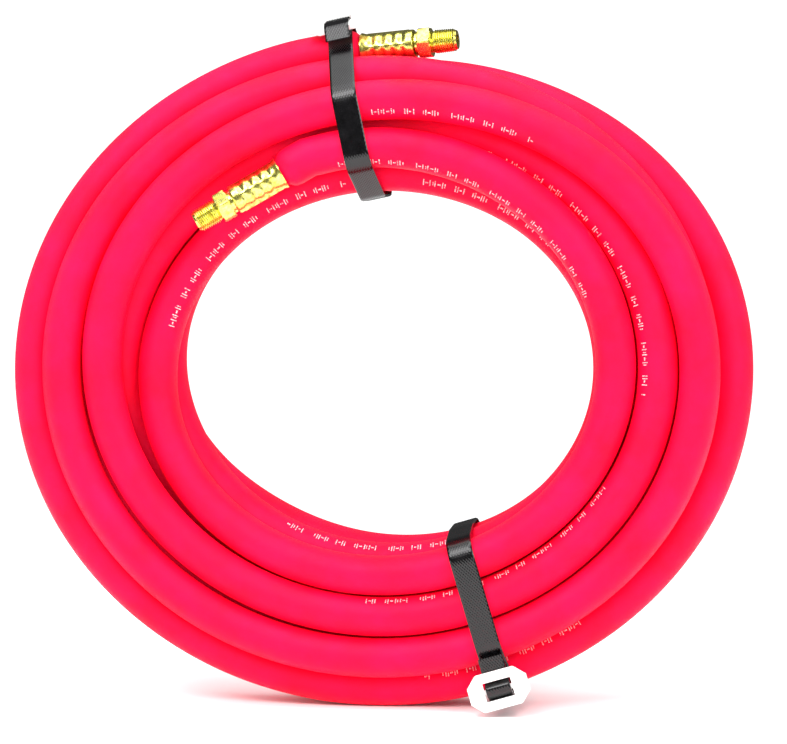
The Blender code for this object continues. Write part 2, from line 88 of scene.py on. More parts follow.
# Degrees wound clockwise from the top of the coil, then lane and depth in pitches
WINDING = (
    (-32, 0.22, -1.4), (-7, 0.78, -1.3), (30, 0.72, -1.2), (90, 0.2, -1.2),
    (135, 0.25, -1.2), (180, 0.34, -1.2), (215, 0.15, -1.05), (250, 0.02, -0.5),
    (270, 0.0, -0.35), (360, 0.0, -0.38), (450, 0.15, -0.3), (540, 0.0, -0.3),
    (575, 0.0, -0.1), (610, 0.0, 0.5), (630, 0.0, 0.62), (720, 0.0, 0.62),
    (810, 0.1, 0.68), (900, 0.1, 0.7), (935, 0.2, 0.9),
    (970, 0.5, 1.35), (990, 0.55, 1.5), (1080, 0.5, 1.5), (1170, 0.6, 1.55),
    (1260, 0.6, 1.55), (1295, 0.8, 1.2), (1330, 1.0, 0.1), (1350, 1.0, -0.3),
    (1433, 1.05, -0.35), (1453, 1.15, -0.7), (1470, 1.2, -1.0),
    (1485, 1.2, -1.15), (1530, 1.19, -1.2), (1620, 1.19, -1.2), (1665, 1.1, -1.2),
    (1710, 0.92, -1.2), (1732, 1.2, -1.2), (1748, 1.4, -1.2), (1770, 1.52, -1.22),
    (1793, 1.42, -1.25), (1813, 1.48, -1.25),
    (1845, 2.1, -1.2), (1890, 2.15, -1.2), (1980, 2.19, -1.2), (2070, 2.06, -1.2),
    (2092, 2.2, -1.15), (2115, 2.4, -0.9), (2153, 2.08, -0.6), (2205, 2.4, -0.65),
    (2250, 2.35, -0.25), (2270, 2.1, -0.2), (2295, 1.8, -0.25), (2340, 1.6, -0.3),
    (2430, 1.9, -0.25), (2475, 1.5, 0.2), (2513, 1.0, 0.65),
    (2610, 1.2, 0.6), (2700, 1.0, 0.65), (2790, 1.0, 0.65), (2835, 1.3, 1.2),
    (2873, 1.5, 1.5), (2925, 1.7, 1.4), (2955, 2.0, 1.3), (2985, 2.6, 0.95),
    (3020, 3.15, 0.68), (3100, 3.15, 0.68), (3132, 2.5, 0.85), (3160, 2.1, 0.85),
    (3195, 2.0, 0.6), (3233, 2.0, 0.6),
    (3252, 2.45, 0.5), (3270, 2.68, 0.4), (3285, 2.84, 0.3), (3300, 2.94, 0.2),
    (3330, 3.0, 0.0), (3375, 3.1, -0.3), (3420, 3.1, -0.5), (3465, 3.1, -0.7),
    (3510, 3.1, -0.8), (3555, 2.8, -0.5), (3575, 2.8, 0.0), (3594, 2.95, 0.35),
)

# Fittings
GRIP_LENGTH = 0.0205
GRIP_OUTER_RADIUS = 0.0056
FITTING_SIDES = 96
FERRULE_LENGTH = 0.0245
FERRULE_RADIUS = 0.0066
FERRULE_MOUTH_RADIUS = 0.0073
FERRULE_WALL = 0.0007
FERRULE_LIP_RADIUS = 0.0038
CRIMP_ROWS = 4
CRIMP_JAWS = 4
DIMPLE_DEPTH = 0.00055
PLAIN_END = 0.0030
SEAM_HEIGHT = 0.00022
STEM_BORE_RADIUS = 0.0022
BARB_RADIUS = 0.0030
BARB_START = 0.0015
COLLAR_RADIUS = 0.0053
COLLAR_START = 0.0249
HEX_START = 0.0261
HEX_END = 0.0321
HEX_ACROSS_FLATS = 0.0127
HEX_CHAMFER = 0.0007
THREAD_START = 0.0332
THREAD_END = 0.0430
THREAD_TURNS = 10
THREAD_RADIUS = 0.0054
THREAD_DEPTH = 0.0006
THREAD_TAPER = 1 / 32
THREAD_RINGS_PER_TURN = 10
THREAD_RELIEF_RADIUS = 0.0045
STEM_LENGTH = 0.0438

# Straps and buckles
STRAP_WIDTH = 0.0112
STRAP_THICKNESS = 0.0009
STRAP_GAP = 0.0006
LAYER_GAP = 0.0004
STRAP_STEP = 5.0
START_OVERLAP = 30.0
TAIL_LENGTH = 0.0145
STRAP_SPACING = 0.00042
STRAP_COLUMNS = 46
RIB_PITCH = 0.00125
RIB_HEIGHT = 0.00020
# Name, direction across the coil, how far beside its centre, where the buckle faces, how far
# it sits beyond the outermost hose, where the strap leaves the hose, and whether the tail
# passes over the rim
STRAPS = (
    ("top", 101.6, -0.013, 62.0, 0.0, 115.0, True),
    ("bottom", -73.6, 0.0155, 0.0, 0.0055, 90.0, False),
)
BUCKLE_WIDTH = 0.0270
BUCKLE_LENGTH = 0.0168
BUCKLE_THICKNESS = 0.0027
BUCKLE_CORNER = 0.0048
BUCKLE_BAR_WIDTH = 0.0024
BUCKLE_BAR_THICKNESS = 0.0014
BUCKLE_SLOT_END = 0.0042
BUCKLE_SLOT_WIDTH = 0.0128
BUCKLE_FILLET = 0.0006
BUCKLE_STANDOFF = HOSE_DIAMETER / 2 + STRAP_GAP + 2 * STRAP_THICKNESS + 2 * LAYER_GAP


def unit(vector):
    return vector / np.linalg.norm(vector)


def make_object(name, points, faces, placement=None):
    mesh = bpy.data.meshes.new(name)
    mesh.from_pydata([tuple(point) for point in points], [], [tuple(face) for face in faces])
    mesh.transform(placement or Matrix())
    work = bmesh.new()
    work.from_mesh(mesh)
    bmesh.ops.recalc_face_normals(work, faces=work.faces)
    work.to_mesh(mesh)
    work.free()
    obj = bpy.data.objects.new(name, mesh)
    bpy.context.scene.collection.objects.link(obj)
    return obj


def smooth(obj, degrees=40):
    obj.data.shade_smooth()
    obj.data.set_sharp_from_angle(angle=radians(degrees))


def grid_faces(rings, sides, closed=False):
    """Quads between rings of equal size; a closed grid joins its last ring to its first."""
    faces = []
    for ring in range(rings if closed else rings - 1):
        following = (ring + 1) % rings
        for side in range(sides):
            after = (side + 1) % sides
            faces.append(
                (
                    ring * sides + side,
                    ring * sides + after,
                    following * sides + after,
                    following * sides + side,
                )
            )
    return faces


# ---------------------------------------------------------------- camera


def add_camera():
    azimuth = radians(CAMERA_AZIMUTH)
    elevation = radians(CAMERA_ELEVATION)
    back = Vector(
        (sin(azimuth) * cos(elevation), -cos(azimuth) * cos(elevation), sin(elevation))
    )
    data = bpy.data.cameras.new("camera")
    data.lens = CAMERA_LENS
    data.sensor_width = CAMERA_SENSOR
    data.shift_x, data.shift_y = CAMERA_SHIFT
    data.clip_start = 0.05
    data.clip_end = 50.0
    camera = bpy.data.objects.new("camera", data)
    camera.location = Vector(COIL_CENTER) + CAMERA_DISTANCE * back
    camera.rotation_euler = (-back).to_track_quat("-Z", "Y").to_euler()
    bpy.context.scene.collection.objects.link(camera)
    bpy.context.scene.camera = camera


# ---------------------------------------------------------------- materials


class Nodes:
    """Small helper that adds and links shader nodes of one material."""

    def __init__(self, name):
        self.material = bpy.data.materials.new(name)
        self.material.use_nodes = True
        self.tree = self.material.node_tree
        self.shader = self.tree.nodes["Principled BSDF"]

    def add(self, kind, **inputs):
        node = self.tree.nodes.new(kind)
        for key, value in inputs.items():
            node.inputs[key.replace("_", " ")].default_value = value
        return node

    def link(self, source, output, target, socket):
        self.tree.links.new(source.outputs[output], target.inputs[socket])

    def texture(self, kind, stretch=(1.0, 1.0, 1.0), coordinate="Object", **inputs):
        place = self.add("ShaderNodeTexCoord")
        mapping = self.add("ShaderNodeMapping")
        mapping.inputs["Scale"].default_value = stretch
        self.link(place, coordinate, mapping, "Vector")
        node = self.add(kind, **inputs)
        self.link(mapping, "Vector", node, "Vector")
        return node

    def ramp(self, source, output, stops):
        node = self.tree.nodes.new("ShaderNodeValToRGB")
        elements = node.color_ramp.elements
        while len(elements) < len(stops):
            elements.new(0.5)
        for element, (place, color) in zip(elements, stops):
            element.position = place
            element.color = (*color, 1.0)
        self.link(source, output, node, "Fac")
        return node

    def bump(self, source, output, strength, distance, below=None):
        node = self.add("ShaderNodeBump", Strength=strength, Distance=distance)
        self.link(source, output, node, "Height")
        if below is not None:
            self.link(below, "Normal", node, "Normal")
        return node

    def set(self, **inputs):
        for key, value in inputs.items():
            self.shader.inputs[key.replace("_", " ")].default_value = value


def gray(level):
    return (level, level, level)


def rubber_material():
    """Satin red cover with a fine cloth grain, faint mottling and scuffs."""
    n = Nodes("red_rubber_cover")
    mottle = n.texture("ShaderNodeTexNoise", Scale=38.0, Detail=6.0, Roughness=0.6)
    color = n.ramp(
        mottle, "Fac", [(0.3, (0.86, 0.0010, 0.020)), (0.7, (0.95, 0.0026, 0.048))]
    )
    n.link(color, "Color", n.shader, "Base Color")
    grain = n.texture("ShaderNodeTexNoise", Scale=1500.0, Detail=4.0, Roughness=0.65)
    along = n.texture(
        "ShaderNodeTexNoise", (90.0, 1800.0, 1.0), "UV", Scale=1.0, Detail=3.0, Roughness=0.6
    )
    weave = n.texture(
        "ShaderNodeTexNoise", (1700.0, 700.0, 1.0), "UV", Scale=1.0, Detail=2.0, Roughness=0.5
    )
    fine = n.bump(grain, "Fac", 0.30, 0.00010)
    lines = n.bump(along, "Fac", 0.22, 0.00010, fine)
    cloth = n.bump(weave, "Fac", 0.25, 0.00008, lines)
    n.link(cloth, "Normal", n.shader, "Normal")
    scuff = n.texture("ShaderNodeTexNoise", Scale=120.0, Detail=8.0, Roughness=0.7)
    rough = n.ramp(scuff, "Fac", [(0.3, gray(0.46)), (0.7, gray(0.62))])
    n.link(rough, "Color", n.shader, "Roughness")
    n.set(Specular_IOR_Level=0.26, Specular_Tint=(1.0, 0.30, 0.85, 1.0))
    return n.material


def brass_material():
    """Bright turned brass with fine turning marks, tarnish and small dents."""
    n = Nodes("bright_brass")
    tarnish = n.texture("ShaderNodeTexNoise", Scale=420.0, Detail=7.0, Roughness=0.65)
    color = n.ramp(
        tarnish,
        "Fac",
        [(0.28, (0.48, 0.36, 0.035)), (0.5, (0.78, 0.74, 0.17)), (0.75, (0.86, 0.90, 0.34))],
    )
    n.link(color, "Color", n.shader, "Base Color")
    turning = n.texture(
        "ShaderNodeTexNoise", (6.0, 9000.0, 1.0), "UV", Scale=1.0, Detail=3.0, Roughness=0.6
    )
    dents = n.texture("ShaderNodeTexNoise", Scale=900.0, Detail=4.0, Roughness=0.5)
    lines = n.bump(turning, "Fac", 0.18, 0.00004)
    marks = n.bump(dents, "Fac", 0.30, 0.00006, lines)
    n.link(marks, "Normal", n.shader, "Normal")
    rough = n.ramp(tarnish, "Fac", [(0.3, gray(0.34)), (0.7, gray(0.20))])
    n.link(rough, "Color", n.shader, "Roughness")
    n.set(Metallic=1.0)
    return n.material


def strap_material():
    """Black polypropylene strapping: glossy, with faint scuffs."""
    n = Nodes("black_strapping")
    wear = n.texture("ShaderNodeTexNoise", Scale=300.0, Detail=6.0, Roughness=0.6)
    color = n.ramp(wear, "Fac", [(0.35, (0.0008, 0.0007, 0.001)), (0.75, (0.003, 0.0027, 0.0036))])
    n.link(color, "Color", n.shader, "Base Color")
    rough = n.ramp(wear, "Fac", [(0.3, gray(0.14)), (0.7, gray(0.24))])
    n.link(rough, "Color", n.shader, "Roughness")
    scratches = n.texture(
        "ShaderNodeTexNoise", (4000.0, 160.0, 1.0), "UV", Scale=1.0, Detail=3.0, Roughness=0.6
    )
    n.link(n.bump(scratches, "Fac", 0.15, 0.00003), "Normal", n.shader, "Normal")
    n.set(Specular_IOR_Level=0.5)
    return n.material


def buckle_material():
    """White moulded plastic with a faint moulding texture."""
    n = Nodes("white_moulding")
    cloud = n.texture("ShaderNodeTexNoise", Scale=160.0, Detail=5.0, Roughness=0.6)
    color = n.ramp(cloud, "Fac", [(0.3, (0.83, 0.83, 0.81)), (0.7, (0.93, 0.93, 0.92))])
    n.link(color, "Color", n.shader, "Base Color")
    rough = n.ramp(cloud, "Fac", [(0.3, gray(0.36)), (0.7, gray(0.48))])
    n.link(rough, "Color", n.shader, "Roughness")
    pores = n.texture("ShaderNodeTexNoise", Scale=2200.0, Detail=3.0, Roughness=0.5)
    n.link(n.bump(pores, "Fac", 0.18, 0.00004), "Normal", n.shader, "Normal")
    return n.material


def print_material():
    """Worn pale ink, which the red cover shows through in places."""
    n = Nodes("worn_print")
    wear = n.texture("ShaderNodeTexNoise", Scale=1400.0, Detail=4.0, Roughness=0.7)
    color = n.ramp(wear, "Fac", [(0.40, (0.88, 0.05, 0.10)), (0.56, (0.93, 0.52, 0.55))])
    n.link(color, "Color", n.shader, "Base Color")
    rough = n.ramp(wear, "Fac", [(0.3, gray(0.5)), (0.7, gray(0.62))])
    n.link(rough, "Color", n.shader, "Roughness")
    return n.material


def floor_material():
    n = Nodes("white_surface")
    cloud = n.texture("ShaderNodeTexNoise", Scale=2.0, Detail=2.0, Roughness=0.5)
    color = n.ramp(cloud, "Fac", [(0.3, gray(0.93)), (0.7, gray(0.96))])
    n.link(color, "Color", n.shader, "Base Color")
    n.set(Roughness=0.7, Specular_IOR_Level=0.0)
    return n.material


# ---------------------------------------------------------------- hose route


def ease_apart(lanes):
    """Push turns apart wherever they crowd, while the hose's stiffness keeps it fair."""
    turns = ceil(len(lanes) / STEPS_PER_TURN)
    far_away = 1000.0 + 10.0 * np.arange(turns * STEPS_PER_TURN)
    itself = np.eye(turns)[:, :, None] * 1000.0
    for _ in range(EASING_ROUNDS):
        grid = np.column_stack([far_away, far_away])
        grid[: len(lanes)] = lanes
        grid = grid.reshape(turns, STEPS_PER_TURN, 2)
        apart = grid[:, None] - grid[None]
        distance = np.linalg.norm(apart, axis=3) + itself
        shortfall = np.clip(1.0 - distance, 0.0, None)
        push = (apart * (shortfall / distance)[..., None]).sum(axis=1)
        lanes = lanes + EASING_RATE * push.reshape(-1, 2)[: len(lanes)]
        bend = np.zeros_like(lanes)
        bend[1:-1] = lanes[:-2] - 2 * lanes[1:-1] + lanes[2:]
        lanes[2:-2] -= STIFFNESS * (bend[1:-3] - 2 * bend[2:-2] + bend[3:-1])
        lanes[:, 0] = np.minimum(lanes[:, 0], OUTER_LANE)
    return lanes


def coil_points():
    """The hose's axis through the coil, around the coil's own centre."""
    stations = np.array(WINDING)
    wound = np.arange(FIRST_STEP, LAST_STEP + 1, 360 / STEPS_PER_TURN)
    lanes = np.column_stack(
        [np.interp(wound, stations[:, 0], stations[:, column]) for column in (1, 2)]
    )
    for _ in range(SMOOTHING_ROUNDS):
        lanes[1:-1] = (lanes[:-2] + 2 * lanes[1:-1] + lanes[2:]) / 4
    lanes = ease_apart(lanes)
    clock = np.radians(90.0 - wound)
    across = (COIL_HALF_WIDTH + lanes[:, 0] * TURN_PITCH) * np.cos(clock)
    upward = (COIL_HALF_HEIGHT + lanes[:, 0] * TURN_PITCH) * np.sin(clock)
    return np.column_stack([across, lanes[:, 1] * TURN_PITCH, upward])


def end_direction(points, lean):
    onward = 2.0 * (points[0] - points[1]) - (points[1] - points[2])
    inward = -unit(points[0] * np.array([1.0, 0.0, 1.0]))
    forward = np.array([0.0, -1.0, 0.0])
    return unit(unit(onward) + lean[0] * inward + lean[1] * forward)


def fitting_axes(coil):
    axes = []
    for points, lead, lean in ((coil, FRONT_LEAD, FRONT_LEAN), (coil[::-1], TOP_LEAD, TOP_LEAN)):
        direction = end_direction(points, lean)
        axes.append((points[0] + lead * direction, direction))
    return axes


def smooth_line(points, steps):
    """A smooth curve through the points, with so many steps between each two."""
    padded = np.vstack([2 * points[0] - points[1], points, 2 * points[-1] - points[-2]])
    share = (np.arange(steps) / steps)[:, None]
    line = []
    for before, start, end, after in zip(padded, padded[1:], padded[2:], padded[3:]):
        line.append(
            0.5
            * (
                2 * start
                + (end - before) * share
                + (2 * before - 5 * start + 4 * end - after) * share**2
                + (3 * start - before - 3 * end + after) * share**3
            )
        )
    return np.vstack(line + [points[-1:]])


# Distance out from the ferrule's mouth, and the hose's radius there
END_PROFILE = (
    (GRIP_LENGTH, GRIP_OUTER_RADIUS),
    (0.010, GRIP_OUTER_RADIUS),
    (0.001, GRIP_OUTER_RADIUS),
    (-0.0010, 0.0064),
    (-0.0024, 0.0078),
    (-0.0040, 0.0086),
    (-0.0060, HOSE_RADIUS),
)


def hose_stations(coil):
    """Centres and radii along the whole hose, from inside one ferrule to inside the other."""
    (front_mouth, front_way), (top_mouth, top_way) = fitting_axes(coil)
    line = smooth_line(coil, STEPS_BETWEEN)
    front = [front_mouth + along * front_way for along, _ in END_PROFILE]
    top = [top_mouth + along * top_way for along, _ in END_PROFILE[::-1]]
    radii = [radius for _, radius in END_PROFILE]
    centers = np.vstack([front, line, top]) + COIL_CENTER
    return centers, np.array(radii + [HOSE_RADIUS] * len(line) + radii[::-1])


def travelled(points):
    """Distance along the line to each of its points."""
    return np.concatenate([[0.0], np.linalg.norm(np.diff(points, axis=0), axis=1).cumsum()])


def carried_frames(centers):
    """Tangent, inward and forward directions at each ring, square to the hose."""
    tangents = np.gradient(centers, axis=0)
    tangents /= np.linalg.norm(tangents, axis=1)[:, None]
    forward = np.array([0.0, -1.0, 0.0]) - tangents * (-tangents[:, 1])[:, None]
    forward /= np.linalg.norm(forward, axis=1)[:, None]
    inward = np.cross(tangents, forward)
    return tangents, inward, forward


def add_hose(coil):
    centers, radii = hose_stations(coil)
    _, inward, forward = carried_frames(centers)
    turn = np.arange(HOSE_SIDES) * 2 * pi / HOSE_SIDES
    points = (
        centers[:, None]
        + radii[:, None, None]
        * (
            np.cos(turn)[None, :, None] * inward[:, None]
            + np.sin(turn)[None, :, None] * forward[:, None]
        )
    ).reshape(-1, 3)
    faces = grid_faces(len(centers), HOSE_SIDES)
    faces.append(tuple(range(HOSE_SIDES))[::-1])
    faces.append(tuple(range(len(points) - HOSE_SIDES, len(points))))
    hose = make_object("hose_cover", points, faces)
    add_wrapped_uv(hose, travelled(centers), HOSE_SIDES)
    smooth(hose, 60)
    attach(hose, "root")
    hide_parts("hose")
    return hose, centers


def add_wrapped_uv(obj, travel, sides):
    """UV map of a tube: U along it in metres, V once around it."""
    layer = obj.data.uv_layers.new(name="along_around")
    for polygon in obj.data.polygons:
        columns = [obj.data.loops[loop].vertex_index % sides for loop in polygon.loop_indices]
        wraps = max(columns) - min(columns) > sides // 2
        for loop, column in zip(polygon.loop_indices, columns):
            ring = min(obj.data.loops[loop].vertex_index // sides, len(travel) - 1)
            share = column + sides if wraps and column < sides // 2 else column
            layer.data[loop].uv = (travel[ring], share / sides)


# ---------------------------------------------------------------- print on the hose

# Start and end in degrees wound, and how far round from the inner side toward the front
PRINT_RUNS = (
    (-8.0, 70.0, 42.0),
    (1452.0, 1536.0, 52.0),
    (1400.0, 1440.0, 44.0),
    (1560.0, 1622.0, 34.0),
    (1800.0, 1832.0, 50.0),
    (283.0, 352.0, 60.0),
    (372.0, 448.0, 64.0),
    (640.0, 712.0, 58.0),
    (520.0, 566.0, 40.0),
    (3384.0, 3412.0, 62.0),
)
PRINT_HEIGHT = 0.0029
PRINT_LIFT = 0.00005
# Width in millimetres, share of the full height, and gap after each mark in millimetres; a
# long gap ends a group
MARKS = (
    (0.5, 1.0, 0.6), (1.3, 0.22, 0.6), (0.5, 1.0, 0.9), (0.5, 0.6, 0.5), (0.5, 1.0, 0.9),
    (1.5, 0.25, 0.7), (0.5, 1.0, 0.6), (0.5, 0.7, 4.6), (0.5, 1.0, 0.7), (0.5, 1.0, 0.5),
    (1.1, 0.25, 0.8), (0.5, 1.0, 4.0), (0.5, 0.7, 0.6), (0.5, 1.0, 0.6), (1.4, 0.25, 0.6),
    (0.5, 1.0, 0.6), (0.5, 1.0, 0.9), (0.5, 0.6, 6.0),
)


def print_patches(line):
    """Short marks laid on the hose, grouped like a worn line of print."""
    points = []
    faces = []
    travel = line[:, 0]
    for begin, end, round_from_inside in PRINT_RUNS:
        rings = [
            len(END_PROFILE) + (wound - FIRST_STEP) * STEPS_PER_TURN / 360 * STEPS_BETWEEN
            for wound in (begin, end)
        ]
        place, finish = np.interp(rings, np.arange(len(travel)), travel)
        index = 0
        while place < finish:
            width, share, gap = MARKS[index % len(MARKS)]
            add_mark(points, faces, line, place, 0.001 * width, radians(round_from_inside), share)
            place += 0.001 * (width + gap)
            index += 1
    return points, faces


def add_mark(points, faces, line, place, width, around, share):
    """One mark that follows the round of the hose."""
    radius = HOSE_RADIUS + PRINT_LIFT
    half = share * PRINT_HEIGHT / 2 / radius
    base = len(points)
    for along in (place, place + width):
        row = np.array([np.interp(along, line[:, 0], column) for column in line[:, 1:].T])
        middle, inner, front = row[0:3], unit(row[3:6]), unit(row[6:9])
        for turn in (-half, 0.0, half):
            angle = around + turn
            points.append(middle + radius * (cos(angle) * inner + sin(angle) * front))
    faces += [(base, base + 1, base + 4, base + 3), (base + 1, base + 2, base + 5, base + 4)]


def add_print(centers):
    _, inward, forward = carried_frames(centers)
    line = np.column_stack([travelled(centers), centers, inward, forward])
    marks = make_object("print_marks", *print_patches(line))
    marks.data.shade_smooth()
    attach(marks, "root")
    return marks


# ---------------------------------------------------------------- fittings


def axis_matrix(mouth, direction):
    z_axis = Vector(direction)
    x_axis = Vector((0.0, 1.0, 0.0)).cross(z_axis).normalized()
    y_axis = z_axis.cross(x_axis)
    rotation = Matrix((x_axis, y_axis, z_axis)).transposed().to_4x4()
    return Matrix.Translation(Vector(mouth)) @ rotation


def ring_of(radius, height):
    turn = np.arange(FITTING_SIDES) * 2 * pi / FITTING_SIDES
    radii = np.broadcast_to(radius, FITTING_SIDES)
    heights = np.full(FITTING_SIDES, height)
    return np.column_stack([radii * np.cos(turn), radii * np.sin(turn), heights])


def turned_object(name, rings, placement):
    points = np.vstack(rings)
    faces = grid_faces(len(rings), FITTING_SIDES, closed=True)
    obj = make_object(name, points, faces, placement)
    heights = np.array([ring[0, 2] for ring in rings])
    layer = obj.data.uv_layers.new(name="along_around")
    for polygon in obj.data.polygons:
        for loop in polygon.loop_indices:
            ring, side = divmod(obj.data.loops[loop].vertex_index, FITTING_SIDES)
            layer.data[loop].uv = (side / FITTING_SIDES, heights[ring])
    smooth(obj, 38)
    return obj


def ferrule_radius(height):
    """Outer radius round the sleeve: jaw dimples in rows, ridges between, and one seam."""
    turn = np.arange(FITTING_SIDES) * 2 * pi / FITTING_SIDES
    pitch = (FERRULE_LENGTH - 2 * PLAIN_END) / CRIMP_ROWS
    flare = (FERRULE_MOUTH_RADIUS - FERRULE_RADIUS) * np.exp(-((height / 0.0016) ** 2))
    dimple = 0.0
    for row in range(CRIMP_ROWS):
        middle = PLAIN_END + (row + 0.5) * pitch
        dimple += np.exp(-(((height - middle) / (0.27 * pitch)) ** 2))
    jaw = np.clip(1.7 * np.abs(np.sin(CRIMP_JAWS / 2 * turn)), 0.0, 1.0)
    ridge = SEAM_HEIGHT * np.exp(-(((turn - pi) / 0.07) ** 2))
    return FERRULE_RADIUS + flare - DIMPLE_DEPTH * dimple * jaw + ridge * (dimple > 0.01)


def add_ferrule(prefix, placement):
    rings = [ring_of(FERRULE_MOUTH_RADIUS, 0.0)]
    for height in np.linspace(0.0003, FERRULE_LENGTH - 0.0009, 90):
        rings.append(ring_of(ferrule_radius(height), height))
    rings.append(ring_of(FERRULE_RADIUS - 0.0001, FERRULE_LENGTH - 0.0005))
    rings.append(ring_of(FERRULE_RADIUS - 0.0005, FERRULE_LENGTH - 0.0001))
    rings.append(ring_of(FERRULE_RADIUS - 0.0008, FERRULE_LENGTH))
    rings.append(ring_of(FERRULE_LIP_RADIUS, FERRULE_LENGTH))
    rings.append(ring_of(FERRULE_LIP_RADIUS, GRIP_LENGTH + 0.0015))
    rings.append(ring_of(FERRULE_RADIUS - FERRULE_WALL - DIMPLE_DEPTH, GRIP_LENGTH + 0.0015))
    rings.append(ring_of(FERRULE_RADIUS - FERRULE_WALL - DIMPLE_DEPTH, 0.0030))
    rings.append(ring_of(FERRULE_MOUTH_RADIUS - FERRULE_WALL, 0.0003))
    ferrule = turned_object(prefix + "_crimped_ferrule", rings, placement)
    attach(ferrule, "root")
    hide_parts(prefix + "_ferrule")
    return ferrule


def hexagon_radius(limit):
    turn = np.arange(FITTING_SIDES) * 2 * pi / FITTING_SIDES
    off_flat = (turn + pi / 6) % (pi / 3) - pi / 6
    return np.minimum(HEX_ACROSS_FLATS / 2 / np.cos(off_flat), limit)


def thread_radius(height):
    """Helical ridge whose crest tapers toward the end."""
    turn = np.arange(FITTING_SIDES) / FITTING_SIDES
    pitch = (THREAD_END - THREAD_START) / THREAD_TURNS
    phase = ((height - THREAD_START) / pitch - turn) % 1.0
    ridge = 1.0 - np.abs(2.0 * phase - 1.0)
    crest = THREAD_RADIUS - (height - THREAD_START) * THREAD_TAPER
    run_in = (height - THREAD_START) / (0.7 * pitch)
    run_out = (THREAD_END - height) / (0.5 * pitch)
    fade = min(1.0, run_in, run_out)
    return crest - THREAD_DEPTH + THREAD_DEPTH * np.clip(1.25 * ridge, 0.0, 1.0) * max(fade, 0.0)


def add_stem(prefix, placement):
    corner = HEX_ACROSS_FLATS / 2 / cos(pi / 6)
    flat = HEX_ACROSS_FLATS / 2
    rings = [ring_of(BARB_RADIUS, BARB_START), ring_of(BARB_RADIUS, COLLAR_START)]
    rings += [ring_of(COLLAR_RADIUS, COLLAR_START), ring_of(COLLAR_RADIUS, HEX_START)]
    rings.append(ring_of(flat, HEX_START))
    rings.append(ring_of(hexagon_radius(corner - 0.0003), HEX_START + 0.5 * HEX_CHAMFER))
    rings.append(ring_of(hexagon_radius(corner), HEX_START + HEX_CHAMFER))
    rings.append(ring_of(hexagon_radius(corner), HEX_END - HEX_CHAMFER))
    rings.append(ring_of(hexagon_radius(corner - 0.0003), HEX_END - 0.5 * HEX_CHAMFER))
    rings += [ring_of(flat, HEX_END), ring_of(THREAD_RELIEF_RADIUS, HEX_END)]
    steps = THREAD_TURNS * THREAD_RINGS_PER_TURN
    for height in np.linspace(THREAD_START, THREAD_END, steps + 1):
        rings.append(ring_of(thread_radius(height), height))
    tip = THREAD_RADIUS - THREAD_DEPTH - 0.0006
    rings += [ring_of(tip, STEM_LENGTH), ring_of(STEM_BORE_RADIUS, STEM_LENGTH)]
    rings.append(ring_of(STEM_BORE_RADIUS, BARB_START))
    stem = turned_object(prefix + "_threaded_stem", rings, placement)
    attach(stem, "root")
    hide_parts(prefix + "_stem")
    return stem


# ---------------------------------------------------------------- straps


def bundle_section(coil, angle, aside):
    outward = np.array([cos(radians(angle)), 0.0, sin(radians(angle))])
    along = np.array([-outward[2], 0.0, outward[0]])
    reach = STRAP_WIDTH / 2 + 0.002
    centers = []
    for route in (coil, coil[1::2], smooth_line(coil, STEPS_BETWEEN)):
        steps = np.linspace(0, len(route) - 1, 16 * len(route))
        fine = np.column_stack([np.interp(steps, np.arange(len(route)), axis) for axis in route.T])
        near = fine[(np.abs(fine @ along - aside) < reach) & (fine @ outward > 0)]
        centers.append(np.column_stack([-near[:, 1], near @ outward]))
    return np.vstack(centers)


def wrap_point(centers, turn, offset):
    facing = np.array([cos(radians(turn)), sin(radians(turn))])
    touched = centers[np.argmax(centers @ facing)]
    return touched + (HOSE_DIAMETER / 2 + offset) * facing


def strap_offset(travel):
    second_layer = min(max((travel - 310.0) / 40.0, 0.0), 1.0)
    return STRAP_GAP + STRAP_THICKNESS / 2 + second_layer * (STRAP_THICKNESS + LAYER_GAP)


def buckle_seat(centers, turn, slide):
    facing = np.array([cos(radians(turn)), sin(radians(turn))])
    along = np.array([-facing[1], facing[0]])
    outermost = centers[np.argmax(centers[:, 1])]
    height = (centers @ facing).max() + BUCKLE_STANDOFF
    return height * facing + (outermost @ along + slide) * along, facing, along


def section_matrix(angle, aside):
    outward = Vector((cos(radians(angle)), 0.0, sin(radians(angle))))
    forward = Vector((0.0, -1.0, 0.0))
    along = forward.cross(outward)
    rotation = Matrix((along, forward, outward)).transposed().to_4x4()
    return Matrix.Translation(Vector(COIL_CENTER) + aside * along) @ rotation


def threaded_points(tail_over):
    """The strap's middle through the buckle, as (outward, height over the underside)."""
    behind = -(LAYER_GAP + STRAP_THICKNESS / 2)
    over_bar = BUCKLE_BAR_THICKNESS + LAYER_GAP + STRAP_THICKNESS / 2
    over_rim = BUCKLE_THICKNESS + LAYER_GAP + STRAP_THICKNESS / 2
    edge = BUCKLE_LENGTH / 2
    rise = 0.88 * BUCKLE_SLOT_END
    half = [(edge, behind), (0.8 * edge, behind), (rise, 0.9 * behind), (0.0015, over_bar)]
    if tail_over:
        window_edge = -0.86 * BUCKLE_SLOT_END
        far_half = [(-0.0015, over_bar), (window_edge, over_rim), (-1.07 * edge, over_rim)]
    else:
        far_half = [(-place, height) for place, height in half[::-1]]
    return half + far_half + [(-TAIL_LENGTH, behind)]


def strap_path(centers, turn, slide, leave, tail_over):
    path = []
    for step in range(int((360.0 + START_OVERLAP) / STRAP_STEP) + 1):
        travel = step * STRAP_STEP
        path.append(wrap_point(centers, leave + START_OVERLAP - travel, strap_offset(travel)))
    seat, facing, along = buckle_seat(centers, turn, slide)
    path += [seat + place * along + height * facing for place, height in threaded_points(tail_over)]
    return np.array(path)


